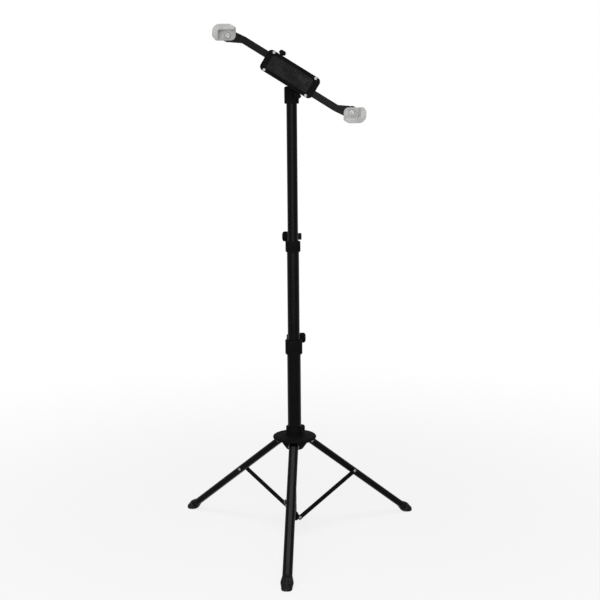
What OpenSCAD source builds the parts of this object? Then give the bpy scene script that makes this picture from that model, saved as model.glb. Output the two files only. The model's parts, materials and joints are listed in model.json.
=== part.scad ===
// Adjustable tablet floor stand: a three-section pole on a folding tripod,
// with a panning, tilting and turning head and two sliding corner grips.
// Millimetres, +Z up. The origin is on the pole's axis at floor level, and the holder faces -Y.

/* [Pole] */
// Outside diameter of the lower tube, which the two inner tubes follow
lower_tube_d = 25; // [23:0.5:30]
// Wall thickness of the three pole tubes
tube_wall = 1.2; // [0.8:0.1:1.6]
// Radial clearance between one tube and the next
tube_gap = 0.3; // [0.2:0.05:0.4]
// Length of the lower tube
lower_tube_len = 189.5; // [180:0.5:240]
// Length of middle tube that shows between the two collars
middle_show = 162; // [120:1:170]
// Length of middle tube inside the lower tube
middle_overlap = 48; // [40:1:60]
// Length of upper tube that shows below the head
upper_show = 244.5; // [200:0.5:260]
// Length of upper tube inside the middle tube
upper_overlap = 60; // [45:1:70]

/* [Clamp collars] */
// Height of the lower collar
lower_collar_h = 27; // [25:0.5:34]
// Wall of the lower collar
lower_collar_wall = 3.2; // [2.4:0.1:4]
// Height of the upper collar
upper_collar_h = 19.5; // [18:0.5:28]
// Wall of the upper collar
upper_collar_wall = 2.6; // [2.2:0.1:4]
// Depth to which a tube end sits in its collar
collar_seat = 13.5; // [10:0.5:15]
// Width of the slot that lets a collar close
clamp_slot = 3; // [2:0.5:4]
// Thickness of each clamp ear
ear_t = 7; // [6:0.5:8]
// Diameter of the clamp bolts
clamp_bolt_d = 6; // [5:0.5:6.5]
// Diameter of the clamp knobs
knob_d = 19; // [16:0.5:22]
// Length of the clamp knobs
knob_len = 12; // [9.5:0.5:14]
// Height of the lower clamp's bolt above its collar
lower_bolt_rise = -1; // [-3:0.5:1]
// Height of the upper clamp's bolt above its collar
upper_bolt_rise = 6.5; // [-3:0.5:8]

/* [Leg hub] */
// Diameter of the hub's disc
hub_disc_d = 80.5; // [74:0.5:90]
// Thickness of the disc
hub_disc_t = 5; // [4:0.5:7]
// Wall of the hub's clamp neck
hub_neck_wall = 3; // [2.4:0.1:4]
// Height of the clamp neck above the disc
hub_neck_h = 17; // [15:0.5:20]
// Diameter of the core under the disc
hub_core_d = 46; // [42:0.5:47]
// Depth of the core below the leg pivots
hub_core_drop = 11.5; // [8:0.5:15]
// Height of the hub's clamp bolt above its disc
hub_bolt_rise = 8.3; // [8.3:0.1:12]
// Diameter of the hub's clamp knob
hub_knob_d = 13; // [12.5:0.5:16]
// Length of the hub's clamp knob
hub_knob_len = 9.5; // [9.5:0.5:12]

/* [Legs] */
// Distance of the leg pivots from the pole's axis
leg_pivot_r = 32.5; // [32:0.5:36]
// Angle of an open leg from the vertical
leg_spread = 51.2; // [46:0.2:54]
// Distance from a leg's pivot to the ball of its foot
leg_len = 279.4; // [250:0.2:300]
// Width of a leg across its hinge
leg_w = 17.2; // [16:0.2:20]
// Depth of a leg in its fold plane
leg_t = 12.8; // [12:0.2:14.5]
// Wall thickness of a leg
leg_wall = 1.2; // [1:0.1:1.5]
// Diameter of the leg and stay rivets
rivet_d = 3.5; // [3:0.5:4.5]
// Greatest depth of a foot in the fold plane
foot_t = 18.8; // [18:0.1:20]
// Greatest width of a foot across the hinge
foot_w = 22.4; // [22:0.1:26]
// Length of the foot's sleeve above its ball
foot_sleeve = 21; // [16:0.5:30]
// Height of the foot's widest place above its ball
foot_bulge_h = 9.5; // [6:0.5:12]
// Height of the foot's ball centre above the floor
foot_ball_z = 3; // [2.5:0.1:4.5]
// Thickness of rubber between the floor and the leg's tube
foot_sole = 2; // [1.5:0.1:3]

/* [Stays] */
// Distance of a stay's upper pivot from the leg's pivot
stay_on_leg = 116; // [105:0.5:125]
// Distance of the spider's pivots from the pole's axis
spider_r = 5; // [3:0.5:7]
// Height of the spider's pivots above the floor
spider_z = 32.6; // [28:0.1:40]
// Width of a stay
stay_w = 8.5; // [7.5:0.1:9.5]
// Thickness of a stay
stay_t = 2; // [1.6:0.1:3]
// Diameter of the rod that carries the spider
rod_d = 5; // [4.5:0.5:7]

/* [Head] */
// Outside diameter of the socket on the upper tube
socket_d = 26; // [25:0.5:27]
// Height of the socket
socket_h = 30; // [26:0.5:36]
// Height of the tilt axis above the socket
tilt_rise = 19.5; // [18:0.5:24]
// Thickness of the tongue that the yoke straddles
tongue_t = 10; // [8:0.5:12]
// Radius of the tongue and of the yoke's ears round the tilt axis
tilt_ear_r = 11; // [10:0.5:13]
// Diameter of the tilt bolt
tilt_bolt_d = 6; // [5:0.5:6.5]
// Diameter of the tilt knob
tilt_knob_d = 24; // [20:0.5:28]
// Diameter of the disc that the holder turns on
turn_disc_d = 40; // [36:0.5:42]

/* [Holder] */
// Width between the corners that the grips are set to
tablet_w = 247; // [235:1:265]
// Height between the corners that the grips are set to
tablet_h = 153; // [145:1:170]
// Thickness that the grips are set to
tablet_t = 9; // [7:0.5:11]
// Length of the holder's body along the diagonal
body_len = 104; // [96:1:116]
// Width of each sliding arm
arm_w = 12.6; // [12:0.2:14]
// Thickness of each sliding arm
arm_t = 5; // [4.5:0.1:6]
// Thickness of the rubber pad on the holder's front
pad_t = 2; // [1.8:0.1:3]
// Thickness of a grip's wall outside its slot
grip_wall = 8; // [6:0.5:10]
// Length of a grip along its level side
grip_long = 31; // [28:0.5:36]
// Length of a grip along its upright side
grip_short = 19; // [18:0.5:24]
// Overlap of a grip's lip in front of its slot
grip_lip = 2; // [1.5:0.5:4]

/* [Hidden] */
$fn = 64;

// Clearances: pieces fixed together, a hole on a pin that turns in it, and free-moving faces
fit_gap = 0.05;
run_gap = 0.1;
move_gap = 0.3;
// Extra length that carries a cut clear of the face it opens
over = 1;

// Colours
paint = [0.05, 0.05, 0.055];
plastic = [0.09, 0.09, 0.095];
rubber = [0.06, 0.06, 0.06];
steel = [0.5, 0.51, 0.52];
black_steel = [0.12, 0.12, 0.125];
nylon = [0.3, 0.3, 0.31];
milky = [0.75, 0.77, 0.78, 0.6];

// Azimuths of the three legs
front_az = -90;
right_az = 30;
left_az = 150;
leg_azimuths = [front_az, right_az, left_az];

// Tube diameters
middle_tube_d = lower_tube_d - 2 * (tube_wall + tube_gap);
upper_tube_d = middle_tube_d - 2 * (tube_wall + tube_gap);

// Legs, stays and hub: heights and angles
leg_pivot_z = foot_ball_z + leg_len * cos(leg_spread);
leg_end_r = leg_t / 2 + leg_wall;
leg_side_flat = 0.2;
leg_corner_r = leg_t / 2 - leg_side_flat;
foot_floor = (foot_sole + leg_t / 2 * sin(leg_spread) - foot_ball_z) / cos(leg_spread);
leg_tube_end = leg_len - foot_floor;
stay_top_r = leg_pivot_r + stay_on_leg * sin(leg_spread);
stay_top_z = leg_pivot_z - stay_on_leg * cos(leg_spread);
stay_len = norm([stay_top_r - spider_r, stay_top_z - spider_z]);
stay_lean = atan2(stay_top_r - spider_r, stay_top_z - spider_z);
stay_inner = leg_w / 2 + move_gap;
stay_outer = stay_inner + stay_t;
stay_eye_r = 0.57 * stay_w;
rivet_head_d = 1.6 * rivet_d;
rivet_head_t = 1;
rivet_play = 0.15;
foot_bulge_r = foot_t / 2;
foot_toe_in = 1.6;
foot_ball_r = foot_bulge_r - foot_toe_in;
foot_shift = (foot_w - foot_t) / 2;
foot_wall = 1.6;
foot_top_r = leg_t / 2 + foot_wall;
hinge_cheek = 4;
hinge_tongue_t = leg_w - 2 * (leg_wall + hinge_cheek);
hinge_tongue_r = leg_t / 2 - leg_wall - move_gap;
hub_bottom = leg_pivot_z - hub_core_drop;
hub_leg_gap = 0.4;
hub_disc_z = leg_pivot_z + leg_end_r + hub_leg_gap;
hub_disc_top = hub_disc_z + hub_disc_t;
hub_neck_d = lower_tube_d + 2 * (move_gap + hub_neck_wall);
hub_core_taper = 10;
hub_dome_h = 2;
hub_neck_top = hub_disc_top + hub_neck_h;
hub_bolt_z = hub_disc_top + hub_bolt_rise;

// Pole: heights
tube_recess = 3;
lower_tube_z = hub_bottom + tube_recess;
lower_tube_top = lower_tube_z + lower_tube_len;
lower_collar_z = lower_tube_top - collar_seat;
lower_collar_top = lower_collar_z + lower_collar_h;
lower_collar_d = lower_tube_d + 2 * lower_collar_wall;
upper_collar_z = lower_collar_top + middle_show;
upper_collar_top = upper_collar_z + upper_collar_h;
upper_collar_d = middle_tube_d + 2 * upper_collar_wall;
middle_tube_top = upper_collar_z + collar_seat;
middle_tube_z = lower_tube_top - middle_overlap;
upper_tube_z = middle_tube_top - upper_overlap;
plug_h = 14;
rod_flange_t = 2;
spider_h = 8;
spider_stud_d = 6;
nut_t = 3.2;
rod_bottom = spider_z - spider_h / 2 - nut_t;
glide_h = 3;
glide_spigot = 9;
glide_wall = 1.6;
collar_chamfer = 1.6;

// Clamps: ears, bolt and knob
ear_r = 6;
ear_root = 4;
ear_outer = clamp_slot / 2 + ear_t;
knob_clear = 0.6;
knob_boss_len = 0.9;
knob_boss_d = 10;
knob_start = ear_outer + run_gap;
bolt_grip = 8;
bolt_head_t = 6;
hex_ratio = 2.1;
knob_lobes = 6;
knob_edge = 1.4;
lower_bolt_z = lower_collar_top + lower_bolt_rise;
upper_bolt_z = upper_collar_top + upper_bolt_rise;

// Head: heights and the layers in front of the tilt axis
socket_z = upper_collar_top + upper_show;
socket_top = socket_z + socket_h;
socket_roof = 5;
socket_chamfer = 1;
upper_tube_top = socket_top - socket_roof;
tilt_z = socket_top + tilt_rise;
yoke_inner = tongue_t / 2 + move_gap;
yoke_ear_t = 5;
yoke_outer = yoke_inner + yoke_ear_t;
yoke_step = 2;
yoke_neck = tilt_ear_r - yoke_step;
yoke_clear = 4;
tilt_knob_len = 12;
tilt_boss_d = 14;
turn_disc_back = 21;
turn_disc_t = 5;
washer_t = 1;
washer_inset = 3;
washer_d = turn_disc_d - 2 * washer_inset;
turn_disc_front = turn_disc_back + turn_disc_t;
body_back = turn_disc_front + washer_t + move_gap;
turn_head_d = 13;
turn_head_t = 2.4;
turn_shoulder_d = 8;
turn_thread_d = 6;
turn_seat = 2.7;
turn_hex_d = 5;
turn_hex_depth = 1.4;
body_floor = 5.5;
arm_back = body_back + body_floor + move_gap;
arm_front = arm_back + arm_t;
cover_back = arm_front + move_gap;
cover_t = 2.5;
pad_back = cover_back + cover_t;
pad_front = pad_back + pad_t;
pan_lock_rise = 9;
pan_lock_z = socket_z + pan_lock_rise;
pan_lock_y = upper_tube_d / 2 + move_gap;

// Holder: lanes, screws and grips, along and across the diagonal
diagonal = atan2(tablet_h, tablet_w);
corner_reach = norm([tablet_w, tablet_h]) / 2;
web_half = 1.2;
lane_in = web_half + move_gap;
lane_out = lane_in + arm_w;
body_wall = 5.4;
body_side = lane_out + move_gap + body_wall;
body_corner_r = 8;
cover_screw_inset = 10;
cover_screw_s = body_len / 2 - cover_screw_inset;
cover_screw_v = (lane_out + move_gap + body_side) / 2;
cover_screw_d = 2.5;
cover_screw_depth = 7;
cover_hole_floor = 2;
screw_head_d = 5;
screw_head_t = 1.4;
screw_slot = 0.8;
pad_inset = 10;
pad_half = lane_out;
pad_round = 2;
pad_corner_r = body_corner_r - pad_round;
arm_inner_end = 30;
grip_pin_inset = 20;
grip_pin_s = corner_reach - grip_pin_inset;
grip_pin_d = 5;
grip_pin_head_d = 9;
grip_pin_head_t = 1.5;
grip_eye_r = 11;
arm_taper = 27;
arm_shoulder = 6.6;
lock_s = 30;
lock_stem_d = 5;
lock_knob_d = 13;
lock_knob_len = 8;
lock_boss_d = 8;
lock_proud = 0.5;
lock_depth = arm_back + 0.3 * arm_t;
pan_stem = socket_d / 2 + lock_proud - pan_lock_y;
grip_back = arm_front + move_gap;
grip_play = 0.5;
grip_relief = 0.2;
grip_floor = pad_front - grip_relief;
grip_pin_top = grip_floor - 2 * grip_relief;
grip_slot_front = pad_front + tablet_t + grip_play;
grip_lip_t = 3;
grip_front = grip_slot_front + grip_lip_t;
grip_corner_r = 13;
grip_inner_r = 9;
grip_end_r = 3;
grip_slant_long = 9;
grip_slant_short = 6;
grip_pocket_r = 3;
sharp_r = 0.1;

// Distance of a clamp bolt behind the axis of a ring of diameter d, clear of its knob
function clamp_reach(d, knob) = sqrt(d * d / 4 - knob_start * knob_start) + knob / 2 + knob_clear;

// Rectangle from lo to hi whose corners have the radii r, counter-clockwise from lo
module round_rect(lo, hi, r) {
    polygon([
        [lo.x + r[0], lo.y], [hi.x - r[1], lo.y], [hi.x, lo.y + r[1]], [hi.x, hi.y - r[2]],
        [hi.x - r[2], hi.y], [lo.x + r[3], hi.y], [lo.x, hi.y - r[3]], [lo.x, lo.y + r[0]],
    ]);
    translate([lo.x + r[0], lo.y + r[0]]) circle(r[0]);
    translate([hi.x - r[1], lo.y + r[1]]) circle(r[1]);
    translate([hi.x - r[2], hi.y - r[2]]) circle(r[2]);
    translate([lo.x + r[3], hi.y - r[3]]) circle(r[3]);
}

// Round tube standing on z
module pole_tube(d, z, top) {
    translate([0, 0, z]) difference() {
        cylinder(d = d, h = top - z);
        translate([0, 0, -over]) cylinder(d = d - 2 * tube_wall, h = top - z + 2 * over);
    }
}

// Rod along X from x0 to x1
module x_rod(d, x0, x1) {
    translate([x0, 0, 0]) rotate([0, 90, 0]) cylinder(d = d, h = x1 - x0);
}

// Hexagon bar along X from x0 to x1
module x_hex(d, x0, x1) {
    translate([x0, 0, 0]) rotate([0, 90, 0]) cylinder(d = d, h = x1 - x0, $fn = 6);
}

// Rod along Y from y0 to y1
module y_rod(d, y0, y1) {
    translate([0, y0, 0]) rotate([-90, 0, 0]) cylinder(d = d, h = y1 - y0);
}

// Frame of a clamp's bolt behind a ring; side 1 has the knob at +X and -1 at -X
module at_clamp(ring_d, knob, bolt_z, side) {
    translate([0, clamp_reach(ring_d, knob), bolt_z]) mirror([side < 0 ? 1 : 0, 0, 0]) children();
}

// Two round-topped ears behind a ring for a bolt at bolt_z, joined to the ring from low to high
module clamp_ears(ring_d, knob, bolt_z, low, high) {
    reach = clamp_reach(ring_d, knob);
    start = ring_d / 2 - ear_root;
    for (x0 = [-ear_outer, clamp_slot / 2]) {
        translate([0, reach, bolt_z]) x_rod(2 * ear_r, x0, x0 + ear_t);
        translate([x0, reach - ear_r, low]) cube([ear_t, 2 * ear_r, bolt_z - low]);
        translate([x0, start, low]) cube([ear_t, reach - start, high - low]);
    }
}

// Hole for a clamp's bolt through both ears
module clamp_hole(ring_d, knob, bolt_z) {
    translate([0, clamp_reach(ring_d, knob), bolt_z])
        x_rod(clamp_bolt_d + 2 * fit_gap, -ear_outer - over, ear_outer + over);
}

// Slot that opens a ring at the back from low to high
module clamp_split(ring_d, low, high) {
    translate([-clamp_slot / 2, 0, low]) cube([clamp_slot, 2 * ring_d, high - low]);
}

// Clamp bolt with a hexagon head on the side away from the knob
module clamp_bolt(ring_d, knob, bolt_z, side) {
    color(black_steel) at_clamp(ring_d, knob, bolt_z, side) {
        x_rod(clamp_bolt_d, -ear_outer - over, ear_outer + bolt_grip);
        x_hex(hex_ratio * clamp_bolt_d, -ear_outer - bolt_head_t, -ear_outer);
    }
}

// Lobed knob along +Z from 0, with a blind bore for its bolt
module lobed_knob(d, len, boss_d, bore_d, bore_depth) {
    e = knob_edge;
    grip_h = len - knob_boss_len;
    scallop_r = 0.2 * d;
    difference() {
        union() {
            cylinder(d = boss_d, h = knob_boss_len + over);
            translate([0, 0, knob_boss_len]) rotate_extrude() polygon([
                [0, 0], [d / 2 - e, 0], [d / 2, e], [d / 2, grip_h - 3 * e],
                [d / 2 - e / 2, grip_h - 1.5 * e], [d / 2 - 1.5 * e, grip_h - e / 2],
                [d / 4, grip_h], [0, grip_h],
            ]);
        }
        for (k = [0:knob_lobes - 1]) rotate(k * 360 / knob_lobes)
            translate([d / 2 + scallop_r / 2, 0, knob_boss_len - over])
                cylinder(r = scallop_r, h = len + 2 * over);
        if (bore_depth > 0) translate([0, 0, -over]) cylinder(d = bore_d, h = bore_depth + over);
    }
}

// Knob on a clamp's bolt
module clamp_knob(ring_d, knob, len, bolt_z, side) {
    color(plastic) at_clamp(ring_d, knob, bolt_z, side) translate([knob_start, 0, 0])
        rotate([0, 90, 0]) lobed_knob(knob, len, knob_boss_d, clamp_bolt_d + 2 * run_gap, bolt_grip);
}

// Clamp collar: seats one tube's end from below and closes on the next tube
module clamp_collar(d, z, h, bolt_z, outer_d, inner_d) {
    top = z + h;
    c = collar_chamfer;
    color(plastic) difference() {
        union() {
            translate([0, 0, z]) rotate_extrude() polygon([
                [0, 0], [d / 2 - c, 0], [d / 2, c], [d / 2, h - c / 2], [d / 2 - c / 2, h], [0, h],
            ]);
            clamp_ears(d, knob_d, bolt_z, top - 2 * ear_r, top);
        }
        translate([0, 0, z - over]) cylinder(d = outer_d + 2 * fit_gap, h = collar_seat + over);
        translate([0, 0, z]) cylinder(d = inner_d + 2 * tube_gap, h = h + over);
        clamp_split(d, z + collar_seat, top + over);
        clamp_hole(d, knob_d, bolt_z);
    }
}

// End glide of an inner tube: a ring under the tube with a spigot inside it
module tube_glide(d, z, bore_d) {
    color(nylon) translate([0, 0, z - glide_h]) difference() {
        union() {
            cylinder(d = bore_d - 2 * run_gap, h = glide_h);
            cylinder(d = d - 2 * tube_wall - 2 * fit_gap, h = glide_h + glide_spigot);
        }
        translate([0, 0, -over])
            cylinder(d = d - 2 * tube_wall - 2 * glide_wall, h = glide_h + glide_spigot + 2 * over);
    }
}

// Pole
module lower_tube() {
    color(paint) pole_tube(lower_tube_d, lower_tube_z, lower_tube_top);
}

module tube_end_plug() {
    color(plastic) translate([0, 0, lower_tube_z]) difference() {
        cylinder(d = lower_tube_d - 2 * tube_wall - 2 * fit_gap, h = plug_h);
        translate([0, 0, -over]) cylinder(d = rod_d + 2 * fit_gap, h = plug_h + 2 * over);
    }
}

// Rod under the pole, with a flange that stops it against the plug
module spreader_rod() {
    color(paint) {
        translate([0, 0, rod_bottom]) cylinder(d = rod_d, h = lower_tube_z + plug_h - rod_bottom);
        translate([0, 0, lower_tube_z - rod_flange_t])
            cylinder(d = lower_tube_d - 2 * tube_wall, h = rod_flange_t);
    }
}

// Boss on the rod with one stud per stay
module spreader_spider() {
    color(plastic) difference() {
        union() {
            translate([0, 0, spider_z - spider_h / 2]) cylinder(d = hex_ratio * rod_d, h = spider_h);
            for (az = leg_azimuths) rotate(az) translate([spider_r, 0, spider_z])
                y_rod(spider_stud_d, move_gap - stay_inner, 0);
        }
        translate([0, 0, spider_z - spider_h]) cylinder(d = rod_d + 2 * fit_gap, h = 2 * spider_h);
    }
}

module rod_nut() {
    color(black_steel) translate([0, 0, rod_bottom]) difference() {
        cylinder(d = hex_ratio * rod_d, h = nut_t, $fn = 6);
        translate([0, 0, -over]) cylinder(d = rod_d + 2 * fit_gap, h = nut_t + 2 * over);
    }
}

module lower_collar() {
    clamp_collar(
        lower_collar_d, lower_collar_z, lower_collar_h, lower_bolt_z, lower_tube_d, middle_tube_d);
}

module lower_clamp_bolt() {
    clamp_bolt(lower_collar_d, knob_d, lower_bolt_z, 1);
}

module lower_clamp_knob() {
    clamp_knob(lower_collar_d, knob_d, knob_len, lower_bolt_z, 1);
}

module middle_tube() {
    color(paint) pole_tube(middle_tube_d, middle_tube_z, middle_tube_top);
}

module middle_tube_glide() {
    tube_glide(middle_tube_d, middle_tube_z, lower_tube_d - 2 * tube_wall);
}

module upper_collar() {
    clamp_collar(
        upper_collar_d, upper_collar_z, upper_collar_h, upper_bolt_z, middle_tube_d, upper_tube_d);
}

module upper_clamp_bolt() {
    clamp_bolt(upper_collar_d, knob_d, upper_bolt_z, -1);
}

module upper_clamp_knob() {
    clamp_knob(upper_collar_d, knob_d, knob_len, upper_bolt_z, -1);
}

module upper_tube() {
    color(paint) pole_tube(upper_tube_d, upper_tube_z, upper_tube_top);
}

module upper_tube_glide() {
    tube_glide(upper_tube_d, upper_tube_z, middle_tube_d - 2 * tube_wall);
}

// Frame of one leg: its pivot at the origin, the foot along -Z, +X away from the pole
module on_leg(az) {
    rotate(az) translate([leg_pivot_r, 0, leg_pivot_z]) rotate([0, -leg_spread, 0]) children();
}

// Frame of one stay: its lower pivot at the origin, the leg along +Z
module on_stay(az) {
    rotate(az) translate([spider_r, 0, spider_z]) rotate([0, stay_lean, 0]) children();
}

// Rivet head on the plane y, standing out towards +Y (out 1) or -Y (out -1)
module rivet_head(y, out) {
    step = rivet_head_t / 2;
    translate([0, y, 0]) rotate([-90 * out, 0, 0]) {
        cylinder(d = rivet_head_d, h = step);
        translate([0, 0, step]) cylinder(d1 = rivet_head_d, d2 = rivet_d, h = step);
    }
}

// Leg hub
module leg_hub() {
    rim = hub_disc_t / 2;
    color(plastic) difference() {
        union() {
            translate([0, 0, hub_disc_z]) rotate_extrude() {
                square([hub_disc_d / 2 - rim, hub_disc_t]);
                translate([hub_disc_d / 2 - rim, rim]) circle(rim);
            }
            translate([0, 0, hub_disc_top])
                cylinder(d1 = hub_disc_d - 4 * rim, d2 = hub_neck_d, h = hub_dome_h);
            translate([0, 0, hub_disc_z]) cylinder(d = hub_neck_d, h = hub_disc_t + hub_neck_h);
            translate([0, 0, hub_bottom])
                cylinder(d1 = hub_neck_d, d2 = hub_core_d, h = hub_core_taper);
            translate([0, 0, hub_bottom + hub_core_taper])
                cylinder(d = hub_core_d, h = hub_disc_z + over - hub_bottom - hub_core_taper);
            clamp_ears(hub_neck_d, hub_knob_d, hub_bolt_z, hub_disc_top, hub_bolt_z);
            for (az = leg_azimuths) rotate(az) translate([0, 0, leg_pivot_z]) hinge_tongue();
        }
        translate([0, 0, hub_bottom - over])
            cylinder(d = lower_tube_d + 2 * move_gap, h = hub_neck_top - hub_bottom + 2 * over);
        clamp_split(hub_neck_d, hub_disc_top + hub_dome_h / 2, hub_neck_top + over);
        clamp_hole(hub_neck_d, hub_knob_d, hub_bolt_z);
        for (az = leg_azimuths) rotate(az) translate([leg_pivot_r, 0, leg_pivot_z])
            y_rod(rivet_d + 2 * fit_gap, -hinge_tongue_t, hinge_tongue_t);
    }
}

// Tongue that reaches from the hub's core into the top of a leg
module hinge_tongue() {
    root = hub_neck_d / 2;
    translate([root, -hinge_tongue_t / 2, -hinge_tongue_r])
        cube([leg_pivot_r - root, hinge_tongue_t, 2 * hinge_tongue_r]);
    translate([leg_pivot_r, 0, 0])
        y_rod(2 * hinge_tongue_r, -hinge_tongue_t / 2, hinge_tongue_t / 2);
}

module hub_clamp_bolt() {
    clamp_bolt(hub_neck_d, hub_knob_d, hub_bolt_z, 1);
}

module hub_clamp_knob() {
    clamp_knob(hub_neck_d, hub_knob_d, hub_knob_len, hub_bolt_z, 1);
}

module leg_rivets() {
    seat = leg_w / 2 + rivet_play;
    color(steel) for (az = leg_azimuths) on_leg(az) {
        y_rod(rivet_d, -seat - rivet_head_t / 2, seat + rivet_head_t / 2);
        rivet_head(seat, 1);
        rivet_head(-seat, -1);
    }
}

// Outline of a leg's tube, grown by g
module leg_outline(g) {
    half = [leg_t / 2 + g, leg_w / 2 + g];
    r = leg_corner_r + g;
    round_rect(-half, half, [r, r, r, r]);
}

module leg(az) {
    slot_w = hinge_tongue_t + 2 * move_gap;
    slot_low = hinge_tongue_r + move_gap;
    color(paint) on_leg(az) difference() {
        translate([0, 0, -leg_tube_end]) linear_extrude(leg_tube_end + leg_end_r) leg_outline(0);
        translate([0, 0, -leg_tube_end - over]) linear_extrude(leg_tube_end + leg_end_r + 2 * over)
            leg_outline(-leg_wall);
        difference() {
            translate([-leg_w, -leg_w, 0]) cube([2 * leg_w, 2 * leg_w, 2 * leg_end_r]);
            y_rod(2 * leg_end_r, -leg_w - over, leg_w + over);
        }
        translate([-leg_t, -slot_w / 2, -slot_low]) cube([leg_t, slot_w, slot_low + 2 * leg_end_r]);
        y_rod(rivet_d + 2 * run_gap, -leg_w, leg_w);
        translate([0, 0, -stay_on_leg]) y_rod(rivet_d + 2 * fit_gap, -leg_w, leg_w);
    }
}

// Rubber foot: a barrel round the end of a leg's tube, worn flat where it stands
module foot(az) {
    floor_block = 2 * leg_len;
    taper_h = foot_sleeve - foot_bulge_h;
    color(rubber) difference() {
        on_leg(az) difference() {
            translate([0, 0, -leg_len]) {
                for (side = [-1, 1]) translate([0, side * foot_shift, 0]) {
                    sphere(foot_ball_r);
                    cylinder(r1 = foot_ball_r, r2 = foot_bulge_r, h = foot_bulge_h);
                    translate([0, 0, foot_bulge_h])
                        cylinder(r1 = foot_bulge_r, r2 = foot_top_r, h = taper_h);
                }
                rotate([90, 0, 0]) linear_extrude(2 * foot_shift, center = true) {
                    circle(foot_ball_r);
                    polygon([
                        [-foot_ball_r, 0], [foot_ball_r, 0],
                        [foot_bulge_r, foot_bulge_h], [foot_top_r, foot_sleeve],
                        [-foot_top_r, foot_sleeve], [-foot_bulge_r, foot_bulge_h],
                    ]);
                }
            }
            translate([0, 0, -leg_tube_end]) linear_extrude(leg_tube_end) leg_outline(fit_gap);
        }
        translate([-floor_block, -floor_block, -foot_t])
            cube([2 * floor_block, 2 * floor_block, foot_t]);
    }
}

// Rivet through a leg, on whose end the stay turns
module stay_pin(az) {
    seat = leg_w / 2 + fit_gap;
    outer = stay_outer + rivet_play;
    color(steel) on_leg(az) translate([0, 0, -stay_on_leg]) {
        y_rod(rivet_d, -outer - rivet_head_t / 2, seat + rivet_head_t / 2);
        rivet_head(seat, 1);
        rivet_head(-outer, -1);
    }
}

module stay(az) {
    color(paint) on_stay(az) translate([0, -stay_inner, 0]) rotate([90, 0, 0])
        linear_extrude(stay_t) difference() {
            union() {
                translate([-stay_w / 2, 0]) square([stay_w, stay_len]);
                circle(stay_eye_r);
                translate([0, stay_len]) circle(stay_eye_r);
            }
            circle(d = rivet_d + 2 * fit_gap);
            translate([0, stay_len]) circle(d = rivet_d + 2 * run_gap);
        }
}

// Rivet at a stay's lower end, flush with the face that meets the spider's stud
module stay_rivet(az) {
    color(steel) on_stay(az) {
        y_rod(rivet_d, -stay_outer - rivet_head_t / 2, -stay_inner);
        rivet_head(-stay_outer, -1);
    }
}

module front_leg() { leg(front_az); }
module front_foot() { foot(front_az); }
module front_stay_pin() { stay_pin(front_az); }
module front_stay() { stay(front_az); }
module front_stay_rivet() { stay_rivet(front_az); }
module right_leg() { leg(right_az); }
module right_foot() { foot(right_az); }
module right_stay_pin() { stay_pin(right_az); }
module right_stay() { stay(right_az); }
module right_stay_rivet() { stay_rivet(right_az); }
module left_leg() { leg(left_az); }
module left_foot() { foot(left_az); }
module left_stay_pin() { stay_pin(left_az); }
module left_stay() { stay(left_az); }
module left_stay_rivet() { stay_rivet(left_az); }

// Thumb screw along +Z: a stem from 0 and a small lobed knob moulded on its end
module thumb_screw(stem_len) {
    color(plastic) translate([0, 0, stem_len])
        lobed_knob(lock_knob_d, lock_knob_len, lock_boss_d, lock_stem_d, 0);
    color(steel) cylinder(d = lock_stem_d, h = stem_len + lock_knob_len / 2);
}

// Head
module head_socket() {
    c = socket_chamfer;
    color(plastic) difference() {
        union() {
            translate([0, 0, socket_z]) rotate_extrude() polygon([
                [0, 0], [socket_d / 2 - c, 0], [socket_d / 2, c],
                [socket_d / 2, socket_h - 2 * c], [socket_d / 2 - 2 * c, socket_h], [0, socket_h],
            ]);
            translate([-tongue_t / 2, -tilt_ear_r, socket_top - over])
                cube([tongue_t, 2 * tilt_ear_r, tilt_rise + over]);
            translate([0, 0, tilt_z]) x_rod(2 * tilt_ear_r, -tongue_t / 2, tongue_t / 2);
        }
        translate([0, 0, socket_z - over])
            cylinder(d = upper_tube_d + 2 * move_gap, h = socket_h - socket_roof + over);
        translate([0, 0, tilt_z]) x_rod(tilt_bolt_d + 2 * fit_gap, -tongue_t, tongue_t);
        translate([0, 0, pan_lock_z]) y_rod(lock_stem_d + 2 * run_gap, 0, socket_d);
    }
}

module pan_lock_screw() {
    translate([0, pan_lock_y, pan_lock_z]) rotate([-90, 0, 0]) thumb_screw(pan_stem);
}

// The yoke straddles the tongue and carries the disc that the holder turns on
module tilt_yoke() {
    color(plastic) difference() {
        translate([0, 0, tilt_z]) {
            y_rod(turn_disc_d, -turn_disc_front, -turn_disc_back);
            for (x0 = [-yoke_outer, yoke_inner]) {
                x_rod(2 * tilt_ear_r, x0, x0 + yoke_ear_t);
                translate([x0, -turn_disc_back - over, -yoke_neck])
                    cube([yoke_ear_t, turn_disc_back + over, 2 * yoke_neck]);
            }
            translate([-yoke_outer, -turn_disc_back - over, -yoke_neck])
                cube([2 * yoke_outer, turn_disc_back + over - tilt_ear_r - yoke_clear, 2 * yoke_neck]);
        }
        translate([0, 0, tilt_z]) {
            x_rod(tilt_bolt_d + 2 * run_gap, -yoke_outer - over, yoke_outer + over);
            y_rod(turn_thread_d + 2 * fit_gap, -turn_disc_front - over, -tilt_ear_r);
        }
    }
}

module tilt_bolt() {
    head_x = -yoke_outer - run_gap;
    color(black_steel) translate([0, 0, tilt_z]) {
        x_rod(tilt_bolt_d, head_x, yoke_outer + bolt_grip);
        x_hex(hex_ratio * tilt_bolt_d, head_x - bolt_head_t, head_x);
    }
}

module tilt_knob() {
    color(plastic) translate([yoke_outer + move_gap, 0, tilt_z]) rotate([0, 90, 0])
        lobed_knob(tilt_knob_d, tilt_knob_len, tilt_boss_d, tilt_bolt_d + 2 * run_gap, bolt_grip + over);
}

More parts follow.
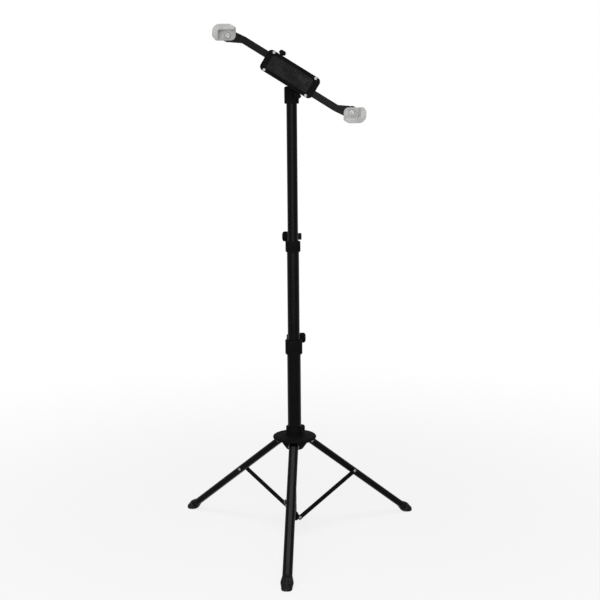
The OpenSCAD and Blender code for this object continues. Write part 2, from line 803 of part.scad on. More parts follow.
module turn_washer() {
    color(nylon) translate([0, 0, tilt_z]) difference() {
        y_rod(washer_d, -turn_disc_front - washer_t, -turn_disc_front);
        y_rod(turn_shoulder_d + 2 * fit_gap, -turn_disc_front - 2 * washer_t, 0);
    }
}

// Shoulder screw that the holder's body turns on
module turn_screw() {
    head_back = body_back + turn_seat + run_gap;
    color(steel) translate([0, 0, tilt_z]) difference() {
        union() {
            y_rod(turn_head_d, -head_back - turn_head_t, -head_back);
            y_rod(turn_shoulder_d, -head_back - run_gap, -turn_disc_front);
            y_rod(turn_thread_d, -turn_disc_front - run_gap, -turn_disc_back);
        }
        translate([0, -head_back - turn_head_t - over, 0]) rotate([-90, 0, 0])
            cylinder(d = turn_hex_d, h = over + turn_hex_depth, $fn = 6);
    }
}

// Frame of the holder: +X along the diagonal to the upper left corner, +Z towards the front
module on_diagonal() {
    translate([0, 0, tilt_z]) rotate([90, 0, 0]) rotate(180 - diagonal) children();
}

// The same for either arm: end 1 is the upper left one and -1 the lower right one
module on_arm(end) {
    on_diagonal() rotate(end > 0 ? 0 : 180) children();
}

// Holder
module holder_body() {
    half = [body_len / 2, body_side];
    r = body_corner_r;
    lane_w = arm_w + 2 * move_gap;
    color(plastic) on_diagonal() difference() {
        translate([0, 0, body_back]) linear_extrude(cover_back - body_back)
            round_rect(-half, half, [r, r, r, r]);
        for (turn = [0, 180]) rotate(turn) {
            translate([-body_len, -lane_out - move_gap, body_back + body_floor])
                cube([2 * body_len, lane_w, 2 * arm_t]);
            translate([lock_s, 0, lock_depth])
                y_rod(lock_stem_d + 2 * run_gap, -body_side - over, -lane_in - arm_w / 2);
            for (v = [-cover_screw_v, cover_screw_v])
                translate([cover_screw_s, v, body_back + cover_hole_floor])
                    cylinder(d = cover_screw_d + 2 * fit_gap, h = 2 * body_side);
        }
        translate([0, 0, body_back - over])
            cylinder(d = turn_shoulder_d + 2 * run_gap, h = body_floor);
        translate([0, 0, body_back + turn_seat])
            cylinder(d = turn_head_d + 2 * move_gap, h = 2 * body_floor);
    }
}

module holder_cover() {
    half = [body_len / 2, body_side];
    r = body_corner_r;
    color(plastic) on_diagonal() difference() {
        translate([0, 0, cover_back]) linear_extrude(cover_t) round_rect(-half, half, [r, r, r, r]);
        for (s = [-cover_screw_s, cover_screw_s], v = [-cover_screw_v, cover_screw_v])
            translate([s, v, cover_back - over])
                cylinder(d = cover_screw_d + 2 * fit_gap, h = cover_t + 2 * over);
    }
}

module cover_screws() {
    slot_len = screw_head_d / 1.5;
    color(steel) on_diagonal()
        for (s = [-cover_screw_s, cover_screw_s], v = [-cover_screw_v, cover_screw_v])
            translate([s, v, pad_back]) {
                translate([0, 0, -cover_screw_depth])
                    cylinder(d = cover_screw_d, h = cover_screw_depth + screw_head_t / 2);
                difference() {
                    cylinder(d = screw_head_d, h = screw_head_t);
                    for (turn = [0, 90]) rotate(turn)
                        translate([-slot_len / 2, -screw_slot / 2, screw_head_t / 2])
                            cube([slot_len, screw_slot, screw_head_t]);
                }
            }
}

module holder_pad() {
    half = [body_len / 2 - pad_inset, pad_half];
    r = pad_corner_r;
    color(rubber) on_diagonal() translate([0, 0, pad_back]) linear_extrude(pad_t)
        round_rect(-half, half, [r, r, r, r]);
}

// Flat arm that slides in its lane and ends in an eye for the grip's pin
module arm(end) {
    neck = grip_pin_s - arm_taper;
    color(paint) on_arm(end) translate([0, 0, arm_back]) linear_extrude(arm_t) difference() {
        union() {
            translate([-arm_inner_end, -lane_out]) square([neck + arm_inner_end + over, arm_w]);
            polygon([
                [neck, -lane_in], [neck, -lane_out], [grip_pin_s, -grip_eye_r],
                [grip_pin_s, grip_eye_r], [grip_pin_s - grip_eye_r, arm_shoulder],
            ]);
            translate([grip_pin_s, 0]) circle(grip_eye_r);
        }
        translate([grip_pin_s, 0]) circle(d = grip_pin_d + 2 * fit_gap);
    }
}

module arm_lock(end) {
    on_arm(end) translate([lock_s, -lane_out - move_gap, lock_depth]) rotate([90, 0, 0])
        thumb_screw(body_side + lock_proud - lane_out - move_gap);
}

// Rivet that a grip swivels on: one head behind the arm, one sunk in the grip's floor
module grip_pin(end) {
    color(steel) on_arm(end) translate([grip_pin_s, 0, 0]) {
        translate([0, 0, arm_back - grip_pin_head_t])
            cylinder(d = grip_pin_head_d, h = grip_pin_head_t);
        translate([0, 0, arm_back - over]) cylinder(d = grip_pin_d, h = grip_pin_top - arm_back + over);
        translate([0, 0, grip_pin_top - grip_pin_head_t])
            cylinder(d = grip_pin_head_d, h = grip_pin_head_t);
    }
}

// Frame of a grip: the corner of its slot at the origin, +X and +Y inwards along the slot's sides
module on_corner(end) {
    translate([0, 0, tilt_z]) rotate([90, 0, 0]) rotate(end > 0 ? 0 : 180)
        translate([-tablet_w / 2, tablet_h / 2, 0]) mirror([0, 1, 0]) children();
}

// Outline of a grip seen from the front: a big round at the corner and slanted ends
module grip_outline() {
    w = grip_wall;
    e = grip_end_r;
    difference() {
        round_rect([-w, -w], [grip_long, grip_short], [grip_corner_r, e, grip_inner_r, e]);
        polygon([
            [grip_long - grip_slant_long, -w], [grip_long - grip_slant_long, -2 * w],
            [2 * grip_long, -2 * w], [2 * grip_long, -e], [grip_long, -e],
        ]);
        polygon([
            [-w, grip_short - grip_slant_short], [-2 * w, grip_short - grip_slant_short],
            [-2 * w, 2 * grip_short], [-e, 2 * grip_short], [-e, grip_short],
        ]);
    }
}

// Corner grip: a floor behind its slot, a wall round the corner and a lip in front
module grip(end) {
    pin = grip_pin_inset * [cos(diagonal), sin(diagonal)];
    pocket_r = [grip_pocket_r, sharp_r, sharp_r, sharp_r];
    color(milky) on_corner(end) difference() {
        translate([0, 0, grip_back]) linear_extrude(grip_front - grip_back) grip_outline();
        translate([0, 0, grip_floor]) linear_extrude(grip_slot_front - grip_floor)
            round_rect(-grip_play * [1, 1], [2 * grip_long, 2 * grip_short], pocket_r);
        translate([0, 0, grip_floor]) linear_extrude(2 * grip_front)
            round_rect(grip_lip * [1, 1], [2 * grip_long, 2 * grip_short], pocket_r);
        translate([pin.x, pin.y, 0]) {
            cylinder(d = grip_pin_d + 2 * run_gap, h = 2 * grip_front);
            translate([0, 0, grip_pin_top - grip_pin_head_t - run_gap])
                cylinder(d = grip_pin_head_d + 2 * move_gap, h = 2 * grip_front);
        }
    }
}

module upper_arm() { arm(1); }
module upper_arm_lock() { arm_lock(1); }
module upper_grip_pin() { grip_pin(1); }
module upper_grip() { grip(1); }
module lower_arm() { arm(-1); }
module lower_arm_lock() { arm_lock(-1); }
module lower_grip_pin() { grip_pin(-1); }
module lower_grip() { grip(-1); }

lower_tube();
tube_end_plug();
spreader_rod();
spreader_spider();
rod_nut();
lower_collar();
lower_clamp_bolt();
lower_clamp_knob();
middle_tube();
middle_tube_glide();
upper_collar();
upper_clamp_bolt();
upper_clamp_knob();
upper_tube();
upper_tube_glide();
leg_hub();
hub_clamp_bolt();
hub_clamp_knob();
leg_rivets();
front_leg();
front_foot();
front_stay_pin();
front_stay();
front_stay_rivet();
right_leg();
right_foot();
right_stay_pin();
right_stay();
right_stay_rivet();
left_leg();
left_foot();
left_stay_pin();
left_stay();
left_stay_rivet();
head_socket();
pan_lock_screw();
tilt_yoke();
tilt_bolt();
tilt_knob();
turn_washer();
turn_screw();
holder_body();
holder_cover();
cover_screws();
holder_pad();
upper_arm();
upper_arm_lock();
upper_grip_pin();
upper_grip();
lower_arm();
lower_arm_lock();
lower_grip_pin();
lower_grip();
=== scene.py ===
"""Looks of the adjustable tablet floor stand: finishes, soft parts, light and camera."""

import json
import math

import bmesh
import bpy
from mathutils import Matrix, Vector


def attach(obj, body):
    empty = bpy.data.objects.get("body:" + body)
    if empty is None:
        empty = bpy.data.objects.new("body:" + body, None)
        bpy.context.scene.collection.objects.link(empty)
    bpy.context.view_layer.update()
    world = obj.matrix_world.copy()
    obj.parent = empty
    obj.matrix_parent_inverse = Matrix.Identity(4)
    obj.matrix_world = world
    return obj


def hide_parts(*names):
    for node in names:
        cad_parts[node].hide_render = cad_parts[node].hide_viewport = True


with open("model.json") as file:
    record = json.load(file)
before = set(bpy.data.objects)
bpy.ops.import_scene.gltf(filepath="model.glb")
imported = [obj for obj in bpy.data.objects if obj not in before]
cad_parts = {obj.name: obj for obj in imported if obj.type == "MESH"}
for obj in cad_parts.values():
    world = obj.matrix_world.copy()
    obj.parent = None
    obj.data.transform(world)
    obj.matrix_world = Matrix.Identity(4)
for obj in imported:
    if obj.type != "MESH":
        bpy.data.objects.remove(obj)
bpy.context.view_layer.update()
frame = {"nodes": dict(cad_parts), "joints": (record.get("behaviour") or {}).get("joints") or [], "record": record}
nodes = frame["nodes"]
joints = {joint["name"]: joint for joint in frame["joints"]}
bodies = frame["record"]["behaviour"]["bodies"]
body_of = {node: body for body, group in bodies.items() for node in group}

MM = 0.001
SAME_POINT = 0.001 * MM
LEGS = ("front", "right", "left")
WHITE = (1, 1, 1, 1)

# Feet, in millimetres: the sizes of their solids
FOOT_BALL_Z = 3.0
FOOT_T = 18.8
FOOT_W = 22.4
FOOT_SLEEVE = 21.0
FOOT_BULGE_H = 9.5
FOOT_TOE_IN = 1.6
LEG_T = 12.8
LEG_W = 17.2
LEG_CORNER_R = 6.2
LEG_END_GAP = 6.36

# Feet, in millimetres: what only the visible ones have
TOE_TIP_R = 0.02
RIM_WALL = 0.55
RIM_ROUND = 0.3
RIM_ROUND_H = 0.7
POCKET_PLAY = 0.05
LUGS = 12
LUG_DEPTH = 1.3
LUG_TOE_R = 5.0
LUG_FADE = (12.0, 16.0)
LUG_FLANK = (0.72, 0.95)
RING_PLACES = (5.2, 11.0)
RING_HALF = 0.8
RING_DEPTH = 1.0

# Pad, in millimetres: the sizes of its solid, then its rounded edge and its ribs
PAD_HALF = (42.0, 14.1)
PAD_CORNER_R = 6.0
PAD_T = 2.0
PAD_BACK = 40.9
PAD_EDGE_R = 0.8
PAD_LEAST_CORNER_R = 0.3
PAD_RING_STEP = 0.4
PAD_RINGS = 32
RIB_PITCH = 4.2
RIB_DEPTH = 0.7
RIB_FLANK = (-0.1, 0.75)
RIB_RIM_FADE = (1.6, 2.6)
RIB_END_FADE = (38.5, 39.5)

# Solids: width of the softened edges in millimetres by finish, and angles in degrees.
# Rubber isn't listed, because the feet and the pad are modelled anew.
EDGE_MM = {
    "black_paint": 0.35, "black_plastic": 0.6, "dull_steel": 0.25, "black_steel": 0.3,
    "grey_nylon": 0.3, "milky_grip": 1.6,
}
FLAT_DEG = 0.4
SHARP_DEG = 34

# Camera, fitted to the photograph: place in metres, angles in degrees, focal length in pixels
CAMERA_PLACE = (0.117, -1.9015, 0.7643)
CAMERA_YAW = 3.16
CAMERA_PITCH = 9.48
CAMERA_ROLL = -0.46
CAMERA_FOCAL = 1058.6
IMAGE_SIZE = 600
SENSOR_MM = 36.0

# Floor: half size, and the distances in metres between which it goes over to white
FLOOR_HALF = 30.0
FLOOR_FADE = (0.2, 1.5)
FLOOR_WHITE_NEAR = 0.8

# Surroundings: level of the fill light, and level that the eye, gloss and clear plastic see
FILL_LEVEL = 0.2
SEEN_LEVEL = 1.0

# Softboxes: name, place, aim and size in metres, power in watts
SOFTBOXES = (
    ("front left", (-0.8, -2.6, 0.85), (0, 0, 0.5), (0.5, 2.0), 15),
    ("front middle", (0.1, -2.75, 0.85), (0, 0, 0.5), (0.5, 2.0), 15),
    ("front right", (1.0, -2.5, 0.85), (0, 0, 0.5), (0.5, 2.0), 15),
    ("key", (-1.5, -1.9, 2.4), (0, 0, 0.4), (1.2, 1.2), 8),
    ("top", (0.0, -0.55, 2.6), (0, -0.1, 0.1), (0.8, 0.8), 17),
)


def add_object(name, data):
    """New object in the scene."""
    made = bpy.data.objects.new(name, data)
    bpy.context.scene.collection.objects.link(made)
    return made


# Materials
class Finish:
    """A material with a Principled shader, built up from a few texture nodes.

    The colour and roughness it starts with are about the mean of what its nodes give, for
    programs that don't run nodes.
    """

    def __init__(self, name, colour, roughness, **sockets):
        self.material = bpy.data.materials.new(name)
        self.material.use_nodes = True
        self.tree = self.material.node_tree
        self.shader = self.tree.nodes["Principled BSDF"]
        self.shader.inputs["Base Color"].default_value = (*colour, 1)
        self.shader.inputs["Roughness"].default_value = roughness
        for socket, value in sockets.items():
            self.shader.inputs[socket.replace("_", " ")].default_value = value
        self.place = self.tree.nodes.new("ShaderNodeTexCoord").outputs["Object"]

    def link(self, output, target):
        self.tree.links.new(output, target)

    def stretched(self, scale):
        """Object coordinates in metres, scaled along each axis."""
        mapping = self.tree.nodes.new("ShaderNodeMapping")
        mapping.inputs["Scale"].default_value = scale
        self.link(self.place, mapping.inputs["Vector"])
        return mapping.outputs["Vector"]

    def noise(self, size, detail=3.0, rough=0.55, place=None):
        """Noise whose features are about size metres across."""
        node = self.tree.nodes.new("ShaderNodeTexNoise")
        node.inputs["Scale"].default_value = 1 / size
        node.inputs["Detail"].default_value = detail
        node.inputs["Roughness"].default_value = rough
        self.link(place or self.place, node.inputs["Vector"])
        return node.outputs["Fac"]

    def ramp(self, value, low, high, out_low=0.0, out_high=1.0):
        """Smooth step of value from low to high, mapped to out_low and out_high."""
        node = self.tree.nodes.new("ShaderNodeMapRange")
        node.interpolation_type = "SMOOTHSTEP"
        node.inputs["From Min"].default_value = low
        node.inputs["From Max"].default_value = high
        node.inputs["To Min"].default_value = out_low
        node.inputs["To Max"].default_value = out_high
        self.link(value, node.inputs["Value"])
        return node.outputs["Result"]

    def multiply(self, a, b):
        """Product of a node's output a and b, which is a number or an output too."""
        node = self.tree.nodes.new("ShaderNodeMath")
        node.operation = "MULTIPLY"
        self.link(a, node.inputs[0])
        if isinstance(b, float):
            node.inputs[1].default_value = b
        else:
            self.link(b, node.inputs[1])
        return node.outputs["Value"]

    def mix(self, factor, a, b):
        """Colour a where factor is 0 and b where it is 1; either may be a node's output."""
        node = self.tree.nodes.new("ShaderNodeMix")
        node.data_type = "RGBA"
        self.link(factor, node.inputs["Factor"])
        for socket, value in ((node.inputs[6], a), (node.inputs[7], b)):
            if isinstance(value, tuple):
                socket.default_value = (*value, 1)
            else:
                self.link(value, socket)
        return node.outputs[2]

    def clouded(self, value, low, high, a, b):
        """Colour that goes from a to b as value goes from low to high."""
        return self.mix(self.ramp(value, low, high), a, b)

    def edges(self, width):
        """1 along sharp edges, about width metres wide, 0 elsewhere."""
        flat_dot, edge_dot = 0.995, 0.9
        bevel = self.tree.nodes.new("ShaderNodeBevel")
        bevel.samples = 4
        bevel.inputs["Radius"].default_value = width
        geometry = self.tree.nodes.new("ShaderNodeNewGeometry")
        dot = self.tree.nodes.new("ShaderNodeVectorMath")
        dot.operation = "DOT_PRODUCT"
        self.link(bevel.outputs["Normal"], dot.inputs[0])
        self.link(geometry.outputs["True Normal"], dot.inputs[1])
        return self.ramp(dot.outputs["Value"], flat_dot, edge_dot)

    def rubbed(self, width, patch, low, high, amount, least=0.0):
        """Wear of edges in patches about patch metres across: amount, times least between them."""
        patches = self.ramp(self.noise(patch), low, high, least)
        return self.multiply(self.multiply(self.edges(width), patches), amount)

    def colour(self, output):
        self.link(output, self.shader.inputs["Base Color"])

    def roughness(self, output):
        self.link(output, self.shader.inputs["Roughness"])

    def bump(self, height, distance):
        """Bump that is distance metres high where height is 1."""
        node = self.tree.nodes.new("ShaderNodeBump")
        node.inputs["Strength"].default_value = 1.0
        node.inputs["Distance"].default_value = distance
        self.link(height, node.inputs["Height"])
        self.link(node.outputs["Normal"], self.shader.inputs["Normal"])


def black_paint():
    """Satin powder coat on steel: orange peel, soft smudges, flecks and rubbed edges."""
    finish = Finish("black_paint", (0.0016, 0.0018, 0.0019), 0.23, Specular_IOR_Level=0.058)
    smudge = finish.noise(0.035, detail=5)
    fleck = finish.ramp(finish.noise(0.0011, detail=2), 0.66, 0.74)
    rubbed = finish.rubbed(0.0006, 0.004, 0.42, 0.62, amount=0.4)
    ground = finish.clouded(
        smudge, 0.35, 0.7, (0.001, 0.0011, 0.0012), (0.0022, 0.0024, 0.0025),
    )
    flecked = finish.mix(finish.multiply(fleck, 0.2), ground, (0.015, 0.015, 0.015))
    finish.colour(finish.mix(rubbed, flecked, (0.04, 0.04, 0.04)))
    finish.roughness(finish.ramp(smudge, 0.3, 0.75, 0.2, 0.26))
    finish.bump(finish.noise(0.0016, detail=2), 0.00005)
    return finish.material


def black_plastic():
    """Moulded plastic with a spark-eroded grain and rubbed edges."""
    finish = Finish("black_plastic", (0.006, 0.006, 0.0061), 0.65, Specular_IOR_Level=0.012)
    cloud = finish.noise(0.02, detail=4)
    grain = finish.noise(0.0006, detail=3, rough=0.7)
    rubbed = finish.rubbed(0.0008, 0.003, 0.35, 0.6, amount=0.4)
    ground = finish.clouded(
        cloud, 0.3, 0.7, (0.0045, 0.0045, 0.0046), (0.0075, 0.0075, 0.0077),
    )
    finish.colour(finish.mix(rubbed, ground, (0.04, 0.04, 0.042)))
    finish.roughness(finish.ramp(cloud, 0.3, 0.7, 0.58, 0.72))
    finish.bump(grain, 0.00008)
    return finish.material


def black_rubber():
    """Matt rubber with fine pores, a little grey dust and rubbed edges."""
    finish = Finish("black_rubber", (0.004, 0.004, 0.004), 0.6, Specular_IOR_Level=0.06)
    dust = finish.ramp(finish.noise(0.006, detail=6, rough=0.65), 0.5, 0.75)
    rubbed = finish.rubbed(0.0008, 0.02, 0.3, 0.6, amount=0.7, least=0.35)
    dusty = finish.mix(dust, (0.0025, 0.0025, 0.0025), (0.01, 0.01, 0.0098))
    finish.colour(finish.mix(rubbed, dusty, (0.06, 0.06, 0.059)))
    finish.roughness(finish.ramp(dust, 0, 1, 0.5, 0.74))
    finish.bump(finish.noise(0.0009, detail=4, rough=0.7), 0.00012)
    return finish.material


def dull_steel():
    """Plated rivets and screws, dulled, with fine scratches and grime in the clouds."""
    finish = Finish("dull_steel", (0.22, 0.22, 0.216), 0.38, Metallic=1.0)
    cloud = finish.noise(0.0025, detail=4)
    scratch = finish.noise(0.0012, detail=3, place=finish.stretched((1, 1, 9)))
    finish.colour(finish.clouded(cloud, 0.35, 0.7, (0.28, 0.28, 0.274), (0.15, 0.15, 0.147)))
    finish.roughness(finish.ramp(scratch, 0.3, 0.7, 0.34, 0.52))
    finish.bump(scratch, 0.00003)
    return finish.material


def black_steel():
    """Black oxide on bolts and nuts: an oily sheen, mottled, with rubbed corners."""
    finish = Finish("black_steel", (0.005, 0.005, 0.005), 0.36, Specular_IOR_Level=0.05)
    mottle = finish.noise(0.0018, detail=5, rough=0.6)
    rubbed = finish.rubbed(0.0005, 0.002, 0.35, 0.6, amount=0.4)
    ground = finish.clouded(mottle, 0.3, 0.7, (0.003, 0.003, 0.0032), (0.007, 0.0068, 0.0066))
    finish.colour(finish.mix(rubbed, ground, (0.07, 0.07, 0.07)))
    finish.roughness(finish.ramp(mottle, 0.3, 0.7, 0.3, 0.48))
    finish.bump(mottle, 0.00003)
    return finish.material


def grey_nylon():
    """Plain nylon with a waxy surface."""
    finish = Finish("grey_nylon", (0.2, 0.2, 0.21), 0.48)
    cloud = finish.noise(0.004, detail=4)
    finish.colour(finish.clouded(cloud, 0.3, 0.7, (0.17, 0.17, 0.18), (0.24, 0.24, 0.25)))
    finish.roughness(finish.ramp(cloud, 0.3, 0.7, 0.42, 0.54))
    finish.bump(finish.noise(0.0008), 0.00004)
    return finish.material


def milky_grip():
    """Translucent milky plastic with faint flow clouds and a frosted skin."""
    finish = Finish(
        "milky_grip", (0.44, 0.445, 0.43), 0.42,
        Specular_IOR_Level=0.3, Transmission_Weight=0.12, IOR=1.4,
    )
    cloud = finish.noise(0.012, detail=4)
    finish.colour(finish.clouded(cloud, 0.3, 0.7, (0.38, 0.385, 0.37), (0.5, 0.505, 0.49)))
    finish.roughness(finish.ramp(finish.noise(0.006), 0.3, 0.7, 0.36, 0.48))
    finish.bump(finish.noise(0.0035, detail=2), 0.00003)
    return finish.material


MATERIALS = {
    "black_paint": black_paint(),
    "black_plastic": black_plastic(),
    "black_rubber": black_rubber(),
    "dull_steel": dull_steel(),
    "black_steel": black_steel(),
    "grey_nylon": grey_nylon(),
    "milky_grip": milky_grip(),
}


# Solids: finish and softened edges
def soften(piece, width):
    """Rounds a solid's sharp edges by width metres."""
    weld = piece.modifiers.new("weld", "WELD")
    weld.merge_threshold = SAME_POINT
    flat = piece.modifiers.new("flat faces", "DECIMATE")
    flat.decimate_type = "DISSOLVE"
    flat.angle_limit = math.radians(FLAT_DEG)
    bevel = piece.modifiers.new("edges", "BEVEL")
    bevel.width = width
    bevel.segments = 2
    bevel.limit_method = "ANGLE"
    bevel.angle_limit = math.radians(SHARP_DEG)
    bevel.use_clamp_overlap = True
    bevel.miter_outer = "MITER_ARC"
    shading = piece.modifiers.new("shading", "WEIGHTED_NORMAL")
    shading.weight = 90
    shading.keep_sharp = False


def dress_solids():
    """Gives each solid the finish of its slot, and soft edges."""
    for piece in nodes.values():
        slot = piece.data.materials[0].name.split(".")[0]
        piece.data.materials[0] = MATERIALS[slot]
        if slot in EDGE_MM:
            soften(piece, EDGE_MM[slot] * MM)


# Soft parts
def smooth(low, high, value):
    """0 up to low, 1 from high on, and a smooth step between."""
    t = min(max((value - low) / (high - low), 0), 1)
    return t * t * (3 - 2 * t)


def round_outline(half_x, half_y, r, arc_steps, edge_steps):
    """Points round a rectangle whose corners have the radius r, counter-clockwise."""
    r = min(r, half_x, half_y)
    in_x, in_y = half_x - r, half_y - r
    centres = [(in_x, in_y), (-in_x, in_y), (-in_x, -in_y), (in_x, -in_y)]
    points = []
    for quarter, (cx, cy) in enumerate(centres):
        for step in range(arc_steps + 1):
            angle = (quarter + step / arc_steps) * math.pi / 2
            points.append(Vector((cx + r * math.cos(angle), cy + r * math.sin(angle))))
        following = centres[(quarter + 1) % 4]
        start = points[-1]
        end = Vector(following) + r * Vector((math.cos(angle), math.sin(angle)))
        points.extend(start.lerp(end, step / edge_steps) for step in range(1, edge_steps))
    return points


def loft(name, rings):
    """Smooth closed mesh through rings of equally many points, capped at both ends."""
    mesh = bmesh.new()
    rows = [[mesh.verts.new(point) for point in ring] for ring in rings]
    count = len(rows[0])
    for low, high in zip(rows, rows[1:]):
        for k in range(count):
            following = (k + 1) % count
            mesh.faces.new((low[k], low[following], high[following], high[k]))
    mesh.faces.new(reversed(rows[0]))
    mesh.faces.new(rows[-1])
    bmesh.ops.remove_doubles(mesh, verts=mesh.verts, dist=SAME_POINT)
    bmesh.ops.recalc_face_normals(mesh, faces=mesh.faces)
    data = bpy.data.meshes.new(name)
    mesh.to_mesh(data)
    mesh.free()
    data.polygons.foreach_set("use_smooth", [True] * len(data.polygons))
    return add_object(name, data)


def stand_for(piece, node, slot):
    """Puts piece in the place of a solid, with that slot's finish."""
    piece.data.materials.append(MATERIALS[slot])
    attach(piece, body_of[node])
    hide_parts(node)


def leg_matrix(leg):
    """Frame at a foot's ball: +Z up the leg, +Y along the leg's hinge, in metres."""
    pivot = Vector(joints[leg + "_leg_fold"]["pos_m"])
    pin = Vector(joints[leg + "_stay_fold"]["pos_m"])
    hinge = Vector(joints[leg + "_leg_fold"]["axis"]).normalized()
    down = pin - pivot
    down -= hinge * down.dot(hinge)
    down.normalize()
    ball = pivot + down * ((FOOT_BALL_Z * MM - pivot.z) / down.z)
    up = -down
    across = hinge.cross(up)
    rotation = Matrix((across, hinge, up)).transposed().to_4x4()
    return Matrix.Translation(ball) @ rotation


def foot_section(s):
    """Half depth, half width and corner radius of a foot at the height s over its ball."""
    bulge = FOOT_T / 2
    shift = (FOOT_W - FOOT_T) / 2
    if s < FOOT_BULGE_H:
        r = bulge - FOOT_TOE_IN * smooth(0, FOOT_BULGE_H, FOOT_BULGE_H - s)
        if s < 0:
            r = math.sqrt(max(r * r - s * s, TOE_TIP_R * TOE_TIP_R))
        return r, shift + r, r
    t = smooth(FOOT_BULGE_H, FOOT_SLEEVE, s)
    low = (bulge, shift + bulge, bulge)
    high = (LEG_T / 2 + RIM_WALL, LEG_W / 2 + RIM_WALL, LEG_CORNER_R + RIM_WALL)
    return tuple(start + (end - start) * t for start, end in zip(low, high))


def foot_cut(s, half_x, turn):
    """How far rings, gaps between lugs and the rounded rim cut into a foot."""
    rings = sum(
        RING_DEPTH * (1 - smooth(0, RING_HALF, abs(s - place))) for place in RING_PLACES
    )
    lug_gap = LUG_DEPTH * smooth(0, LUG_TOE_R, half_x) * (1 - smooth(*LUG_FADE, s))
    lug_gap *= smooth(*LUG_FLANK, math.cos(LUGS * turn))
    rim = RIM_ROUND * smooth(FOOT_SLEEVE - RIM_ROUND_H, FOOT_SLEEVE, s)
    return max(rings, lug_gap) + rim


def foot_rings():
    """Outer rings of a foot from its toe up to its rim, then its pocket, in millimetres."""
    ball_r = FOOT_T / 2 - FOOT_TOE_IN
    toe_steps, sleeve_steps = 22, 48
    outline_steps = {"arc_steps": 28, "edge_steps": 4}
    stations = [-ball_r * math.cos(k / toe_steps * math.pi / 2) for k in range(toe_steps)]
    stations += [FOOT_SLEEVE * k / sleeve_steps for k in range(sleeve_steps + 1)]
    rings = []
    for s in stations:
        half_x, half_y, r = foot_section(s)
        ring = []
        for point in round_outline(half_x, half_y, r, **outline_steps):
            cut = foot_cut(s, half_x, math.atan2(point.y, point.x))
            inner = point * (1 - cut / point.length)
            ring.append((inner.x, inner.y, s))
        rings.append(ring)
    pocket_half = (LEG_T / 2 + POCKET_PLAY, LEG_W / 2 + POCKET_PLAY)
    pocket = round_outline(*pocket_half, LEG_CORNER_R, **outline_steps)
    for s in (FOOT_SLEEVE, LEG_END_GAP):
        rings.append([(point.x, point.y, s) for point in pocket])
    return rings


def on_floor(point, matrix):
    """Puts a foot's point in place, worn flat where the foot stands."""
    place = matrix @ (point * MM)
    place.z = max(place.z, 0)
    return place


def make_feet():
    rings = foot_rings()
    for leg in LEGS:
        matrix = leg_matrix(leg)
        placed = [[on_floor(Vector(point), matrix) for point in ring] for ring in rings]
        stand_for(loft(leg + "_rubber_foot", placed), leg + "_foot", "black_rubber")


def pad_matrix():
    """Frame on the holder's front: +X along the arms to the upper left, +Z forwards."""
    along = Vector(joints["upper_arm_slide"]["axis"]).normalized()
    front = Vector(joints["holder_turn"]["axis"]).normalized()
    centre = Vector(joints["head_tilt"]["pos_m"]) + front * PAD_BACK * MM
    rotation = Matrix((along, front.cross(along), front)).transposed().to_4x4()
    return Matrix.Translation(centre) @ rotation


def pad_profile():
    """Inset and height of each ring of the pad: up its side, round its edge, over its front."""
    round_steps = 5
    profile = [(0.0, 0.0), (0.0, PAD_T - PAD_EDGE_R)]
    for k in range(1, round_steps + 1):
        angle = k / round_steps * math.pi / 2
        inset = PAD_EDGE_R * (1 - math.cos(angle))
        profile.append((inset, PAD_T - PAD_EDGE_R * (1 - math.sin(angle))))
    profile += [(PAD_EDGE_R + PAD_RING_STEP * k, PAD_T) for k in range(1, PAD_RINGS + 1)]
    return profile


def pad_rings():
    """Rings of the ribbed pad from its back to the middle of its front, in millimetres."""
    rings = []
    for inset, height in pad_profile():
        corner_r = max(PAD_CORNER_R - inset, PAD_LEAST_CORNER_R)
        half_x, half_y = (half - inset for half in PAD_HALF)
        fade = smooth(*RIB_RIM_FADE, inset)
        ring = []
        for point in round_outline(half_x, half_y, corner_r, arc_steps=12, edge_steps=150):
            wave = math.cos(2 * math.pi * point.x / RIB_PITCH)
            groove = smooth(*RIB_FLANK, wave) * fade * (1 - smooth(*RIB_END_FADE, abs(point.x)))
            ring.append((point.x, point.y, height - RIB_DEPTH * groove))
        rings.append(ring)
    return rings


def make_pad():
    matrix = pad_matrix()
    placed = [[matrix @ (Vector(point) * MM) for point in ring] for ring in pad_rings()]
    stand_for(loft("ribbed_pad", placed), "holder_pad", "black_rubber")


# Stage, light and camera
def seen_rays(tree):
    """1 for rays from the camera and those that gloss or clear plastic passes on, else 0."""
    light_path = tree.nodes.new("ShaderNodeLightPath")
    seen = light_path.outputs["Is Camera Ray"]
    for other in ("Is Glossy Ray", "Is Transmission Ray"):
        either = tree.nodes.new("ShaderNodeMath")
        either.operation = "MAXIMUM"
        tree.links.new(seen, either.inputs[0])
        tree.links.new(light_path.outputs[other], either.inputs[1])
        seen = either.outputs["Value"]
    return seen


def floor_finish():
    """Pale and matt near the stand, where shadows show, and white further away."""
    finish = Finish("floor", (0.92, 0.92, 0.92), 0.9, Specular_IOR_Level=0.05)
    tree = finish.tree
    distance = tree.nodes.new("ShaderNodeVectorMath")
    distance.operation = "LENGTH"
    finish.link(finish.place, distance.inputs[0])
    fade = finish.ramp(distance.outputs["Value"], *FLOOR_FADE, FLOOR_WHITE_NEAR)
    white = tree.nodes.new("ShaderNodeEmission")
    white.inputs["Color"].default_value = WHITE
    blend = tree.nodes.new("ShaderNodeMixShader")
    finish.link(finish.multiply(fade, seen_rays(tree)), blend.inputs["Fac"])
    finish.link(finish.shader.outputs["BSDF"], blend.inputs[1])
    finish.link(white.outputs["Emission"], blend.inputs[2])
    finish.link(blend.outputs["Shader"], tree.nodes["Material Output"].inputs["Surface"])
    return finish.material


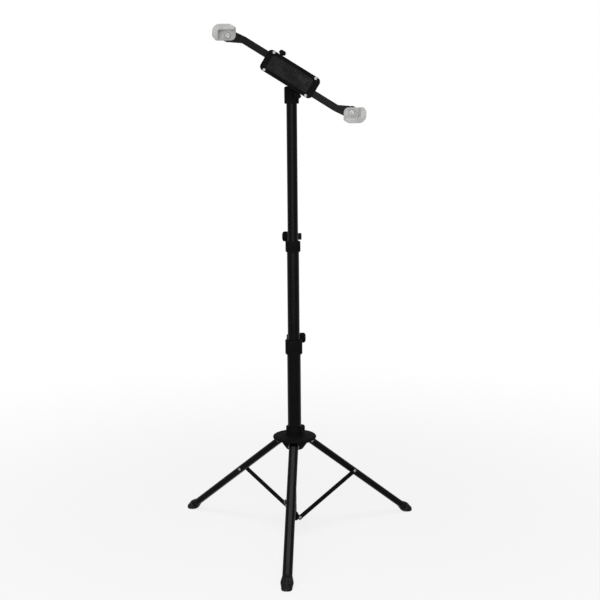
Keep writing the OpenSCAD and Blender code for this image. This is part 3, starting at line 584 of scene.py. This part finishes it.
def make_stage():
    """Large floor that keeps the object's shadow."""
    half = FLOOR_HALF
    corners = [(-half, -half, 0), (half, -half, 0), (half, half, 0), (-half, half, 0)]
    data = bpy.data.meshes.new("floor")
    data.from_pydata(corners, [], [(0, 1, 2, 3)])
    data.materials.append(floor_finish())
    floor = add_object("floor", data)


def make_world():
    """White surroundings for the eye, for gloss and for clear plastic; plain fill light."""
    world = bpy.data.worlds.new("studio")
    bpy.context.scene.world = world
    world.use_nodes = True
    tree = world.node_tree
    background = tree.nodes["Background"]
    level = tree.nodes.new("ShaderNodeMapRange")
    level.inputs["To Min"].default_value = FILL_LEVEL
    level.inputs["To Max"].default_value = SEEN_LEVEL
    tree.links.new(seen_rays(tree), level.inputs["Value"])
    tree.links.new(level.outputs["Result"], background.inputs["Strength"])
    background.inputs["Color"].default_value = WHITE


def add_softbox(name, place, aim, size, power):
    light = bpy.data.lights.new(name, "AREA")
    light.shape = "RECTANGLE"
    light.size, light.size_y = size
    light.energy = power
    lamp = add_object(name, light)
    lamp.location = place
    lamp.rotation_euler = (Vector(aim) - Vector(place)).to_track_quat("-Z", "Y").to_euler()


def make_camera():
    yaw, pitch, roll = (math.radians(a) for a in (CAMERA_YAW, CAMERA_PITCH, CAMERA_ROLL))
    turn = Matrix.Rotation(yaw, 3, "Z")
    forward = turn @ Vector((0, math.cos(pitch), -math.sin(pitch)))
    level_up = turn @ Vector((0, math.sin(pitch), math.cos(pitch)))
    level_right = turn @ Vector((1, 0, 0))
    right = math.cos(roll) * level_right + math.sin(roll) * level_up
    up = -math.sin(roll) * level_right + math.cos(roll) * level_up
    data = bpy.data.cameras.new("camera")
    data.sensor_width = SENSOR_MM
    data.lens = CAMERA_FOCAL * SENSOR_MM / IMAGE_SIZE
    camera = add_object("camera", data)
    rotation = Matrix((right, up, -forward)).transposed().to_4x4()
    camera.matrix_world = Matrix.Translation(CAMERA_PLACE) @ rotation
    bpy.context.scene.camera = camera


dress_solids()
make_feet()
make_pad()
make_stage()
make_world()
for softbox in SOFTBOXES:
    add_softbox(*softbox)
make_camera()
bpy.context.scene.view_settings.view_transform = "Standard"
